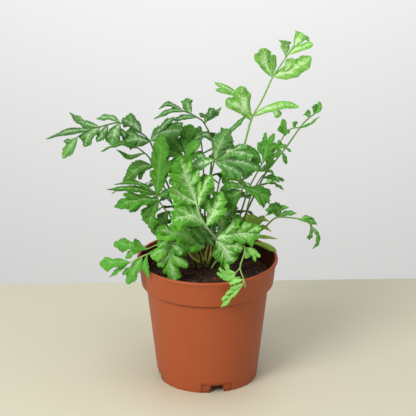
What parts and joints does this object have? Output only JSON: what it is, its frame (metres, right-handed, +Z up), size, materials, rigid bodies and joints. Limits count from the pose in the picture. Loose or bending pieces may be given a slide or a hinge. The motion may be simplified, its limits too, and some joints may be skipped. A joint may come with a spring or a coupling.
{
  "type": "potted fern",
  "caption": "Potted fern: toothed, divided fronds on wiry stalks rise from one crown in a round tapered nursery pot filled with soil.",
  "frame": {"origin": "middle of the pot's underside, on the surface that it stands on", "axes": "+Z up the pot's axis, -Y towards the side that faces the camera in the picture, +X to its right"},
  "size_m": [0.2084, 0.1724, 0.2661],
  "materials": {
    "pot": "terracotta-coloured moulded plastic, satin",
    "soil": "dark crumbly potting soil with bark bits",
    "crown": "dry brown scaly crown and old stalk feet",
    "leaf_green": "bright green leaf with paler feathered middle, satin",
    "leaf_dark": "dark green leaf, satin",
    "leaf_lime": "pale lime green leaf, satin",
    "leaf_aged": "olive yellow ageing leaf with brown patches, dry"
  },
  "bodies": {
    "root": {"pot": "pot", "soil": "soil", "crown": "crown", "frond_left_long": "leaf_green", "frond_left_small": "leaf_dark", "frond_left_star": "leaf_green", "frond_front_left": "leaf_green", "frond_front_low": "leaf_green", "frond_centre": "leaf_green", "frond_centre_right": "leaf_green", "frond_upper_centre": "leaf_dark", "frond_top_centre": "leaf_dark", "frond_back_dark": "leaf_dark", "frond_tall_right": "leaf_lime", "frond_right_thin": "leaf_green", "frond_right_fan": "leaf_green", "frond_right_droop": "leaf_green", "frond_right_aged": "leaf_aged", "frond_front_right": "leaf_lime", "frond_back_1": "leaf_green", "frond_back_2": "leaf_dark", "frond_back_3": "leaf_green", "frond_back_4": "leaf_green", "frond_back_5": "leaf_dark", "frond_back_6": "leaf_green"}
  },
  "joints": []
}
